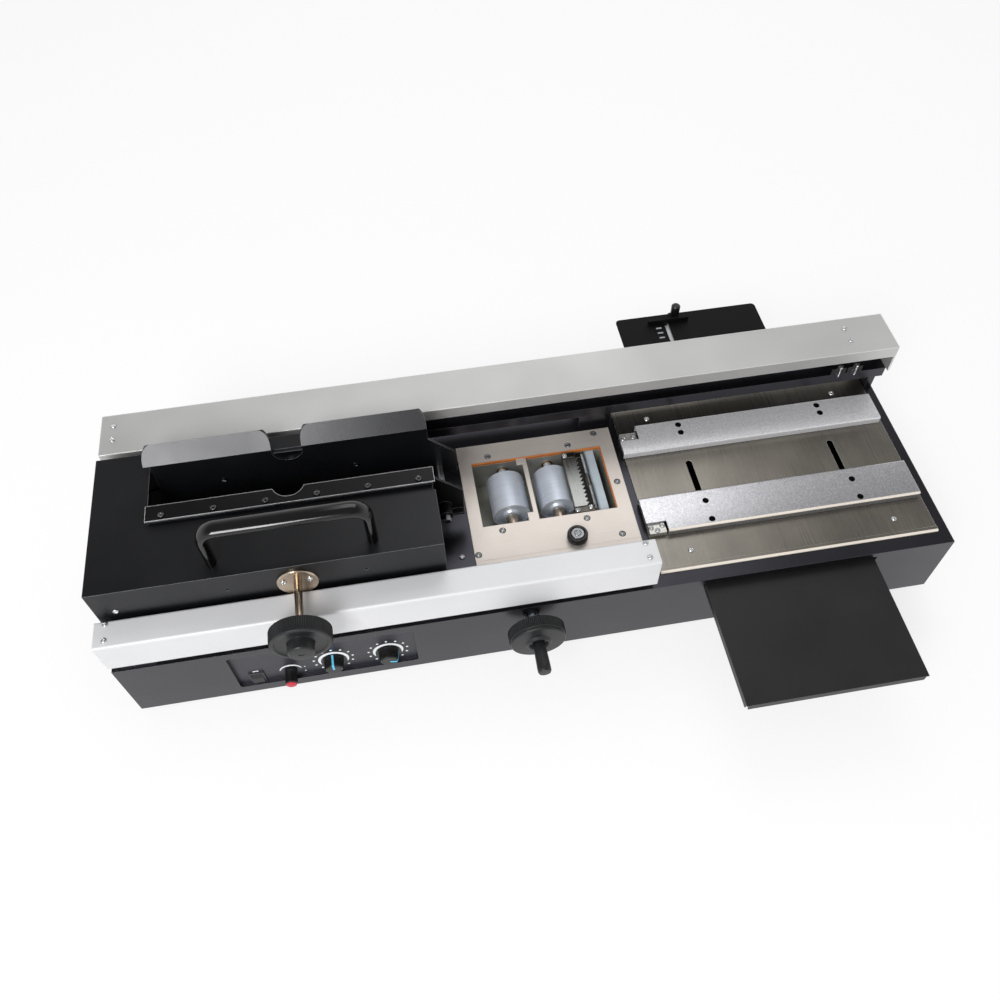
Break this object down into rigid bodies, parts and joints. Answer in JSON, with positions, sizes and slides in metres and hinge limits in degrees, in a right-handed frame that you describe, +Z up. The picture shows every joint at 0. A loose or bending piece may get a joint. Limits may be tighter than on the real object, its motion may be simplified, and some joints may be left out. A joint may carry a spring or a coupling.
{
  "type": "perfect binding machine",
  "caption": "Desktop hot-glue book binder with a hand-pushed clamp carriage, heated glue rollers and a cover nipper.",
  "frame": {"origin": "on the ground under the middle of the base", "axes": "+X right along the rails, +Y to the back, +Z up"},
  "size_m": [1, 0.61, 0.2815],
  "materials": {
    "black_powder_coat": "satin powder coat",
    "silver_aluminium": "satin anodised",
    "brushed_stainless": "brushed",
    "galvanised_steel": "fine grain",
    "ground_steel": "ground",
    "bright_nickel": "polished",
    "turned_aluminium": "turned",
    "cast_aluminium": "cast",
    "sintered_bronze": "plain",
    "black_moulded_plastic": "fine grain",
    "gloss_black_plastic": "gloss",
    "black_rubber": "moulded",
    "amber_silicone": "satin",
    "board_laminate": "satin",
    "white_acetal": "machined",
    "blue_grey_enamel": "satin"
  },
  "bodies": {
    "machine": {"base_housing": "black_powder_coat", "bottom_pan": "black_powder_coat", "rubber_feet": "black_rubber", "control_panel": "black_moulded_plastic", "control_board": "board_laminate", "power_inlet": "gloss_black_plastic", "front_rail": "silver_aluminium", "rail_spacers": "black_powder_coat", "rear_beam": "black_powder_coat", "rear_rail_cover": "silver_aluminium", "linear_rail": "ground_steel", "limit_switches": "black_moulded_plastic", "glue_cover_plate": "brushed_stainless", "glue_tank": "cast_aluminium", "tank_seal": "amber_silicone", "heater_plate": "cast_aluminium", "roller_bushes": "sintered_bronze", "wiper_bar": "blue_grey_enamel", "cover_tray": "brushed_stainless", "rear_nipper": "galvanised_steel", "nip_frame": "black_powder_coat", "nip_motor": "galvanised_steel", "front_table": "black_powder_coat", "rear_table": "black_powder_coat", "deck_screws": "ground_steel"},
    "carriage": {"carriage_cover": "black_powder_coat", "carriage_frame": "black_powder_coat", "bearing_blocks": "ground_steel", "slide_shoe": "white_acetal", "rear_jaw": "black_powder_coat", "jaw_guide_rods": "ground_steel", "clamp_flange": "bright_nickel", "handle": "gloss_black_plastic", "carriage_screws": "ground_steel"},
    "moving_jaw": {"front_jaw": "black_powder_coat", "jaw_strip": "black_powder_coat", "jaw_nut": "ground_steel", "jaw_screws": "ground_steel"},
    "clamp_spindle": {"clamp_screw": "bright_nickel", "clamp_knob": "black_moulded_plastic"},
    "first_roller": {"first_glue_roller": "turned_aluminium", "first_roller_gear": "ground_steel", "handwheel": "black_moulded_plastic"},
    "idler": {"idler_gear": "ground_steel"},
    "second_roller": {"second_glue_roller": "turned_aluminium", "second_roller_gear": "ground_steel"},
    "film_blade": {"blade_frame": "ground_steel", "doctor_blade": "brushed_stainless"},
    "film_screw": {"film_knob": "black_moulded_plastic"},
    "moving_nipper": {"front_nipper": "galvanised_steel", "nip_yoke": "ground_steel"},
    "nipper_screw": {"nip_screw": "ground_steel"},
    "cover_stop": {"stop_fence": "black_powder_coat"},
    "stop_lock": {"fence_knob": "black_moulded_plastic"},
    "mains_rocker": {"power_rocker": "gloss_black_plastic"},
    "cap_control": {"cap_knob": "black_moulded_plastic"},
    "left_control": {"left_dial": "black_moulded_plastic"},
    "right_control": {"right_dial": "black_moulded_plastic"},
    "first_lever": {"first_switch_lever": "ground_steel"},
    "second_lever": {"second_switch_lever": "ground_steel"}
  },
  "joints": [
    {"name": "carriage_travel", "type": "slide", "parent": "machine", "child": "carriage", "axis": [1, 0, 0], "range_m": [0, 0.57]},
    {"name": "jaw_travel", "type": "slide", "parent": "carriage", "child": "moving_jaw", "axis": [0, 1, 0], "range_m": [0, 0.052]},
    {"name": "clamp_turn", "type": "hinge", "parent": "carriage", "child": "clamp_spindle", "pos_m": [-0.276, -0.15, 0.188], "axis": [0, 1, 0], "range_deg": [-15, 3760]},
    {"name": "first_roller_turn", "type": "hinge", "parent": "machine", "child": "first_roller", "pos_m": [-0.0195, 0, 0.0895], "axis": [0, 1, 0], "continuous": true},
    {"name": "idler_turn", "type": "hinge", "parent": "machine", "child": "idler", "pos_m": [0.0105, 0.083, 0.0895], "axis": [0, 1, 0], "continuous": true},
    {"name": "second_roller_turn", "type": "hinge", "parent": "machine", "child": "second_roller", "pos_m": [0.0405, 0, 0.0895], "axis": [0, 1, 0], "continuous": true},
    {"name": "film_travel", "type": "slide", "parent": "machine", "child": "film_blade", "axis": [0, 0, 1], "range_m": [-0.0015, 0]},
    {"name": "film_turn", "type": "hinge", "parent": "machine", "child": "film_screw", "pos_m": [0.051, -0.066, 0.118], "axis": [0, 0, 1], "range_deg": [-30, 570]},
    {"name": "nipper_travel", "type": "slide", "parent": "machine", "child": "moving_nipper", "axis": [0, 1, 0], "range_m": [0, 0.07]},
    {"name": "nipper_turn", "type": "hinge", "parent": "machine", "child": "nipper_screw", "pos_m": [0.312, -0.05, 0.088], "axis": [0, 1, 0], "range_deg": [-20, 8420]},
    {"name": "stop_travel", "type": "slide", "parent": "machine", "child": "cover_stop", "axis": [0, 1, 0], "range_m": [-0.035, 0]},
    {"name": "stop_lock_turn", "type": "hinge", "parent": "cover_stop", "child": "stop_lock", "pos_m": [0.277, 0.297, 0.103], "axis": [0, 0, 1], "range_deg": [0, 180]},
    {"name": "mains_tilt", "type": "hinge", "parent": "machine", "child": "mains_rocker", "pos_m": [-0.3542, -0.1445, 0.035], "axis": [1, 0, 0], "range_deg": [0, 20]},
    {"name": "cap_turn", "type": "hinge", "parent": "machine", "child": "cap_control", "pos_m": [-0.314, -0.15, 0.038], "axis": [0, 1, 0], "range_deg": [-135, 135]},
    {"name": "left_turn", "type": "hinge", "parent": "machine", "child": "left_control", "pos_m": [-0.261, -0.15, 0.0495], "axis": [0, 1, 0], "range_deg": [-135, 135]},
    {"name": "right_turn", "type": "hinge", "parent": "machine", "child": "right_control", "pos_m": [-0.1955, -0.15, 0.0495], "axis": [0, 1, 0], "range_deg": [-245, 25]},
    {"name": "first_lever_swing", "type": "hinge", "parent": "machine", "child": "first_lever", "pos_m": [0.432, 0.092, 0.174], "axis": [0, 1, 0], "range_deg": [-20, 0], "stiffness_Nm_per_rad": 0.002},
    {"name": "second_lever_swing", "type": "hinge", "parent": "machine", "child": "second_lever", "pos_m": [0.454, 0.092, 0.174], "axis": [0, 1, 0], "range_deg": [-20, 0], "stiffness_Nm_per_rad": 0.002}
  ],
  "couplings": [
    {"joint": "clamp_turn", "follows": "jaw_travel", "rad_per_m": 1256.6},
    {"joint": "idler_turn", "follows": "first_roller_turn", "ratio": -1.6667},
    {"joint": "second_roller_turn", "follows": "first_roller_turn", "ratio": 1},
    {"joint": "film_turn", "follows": "film_travel", "rad_per_m": -6283.2},
    {"joint": "nipper_turn", "follows": "nipper_travel", "rad_per_m": 2094.4}
  ]
}
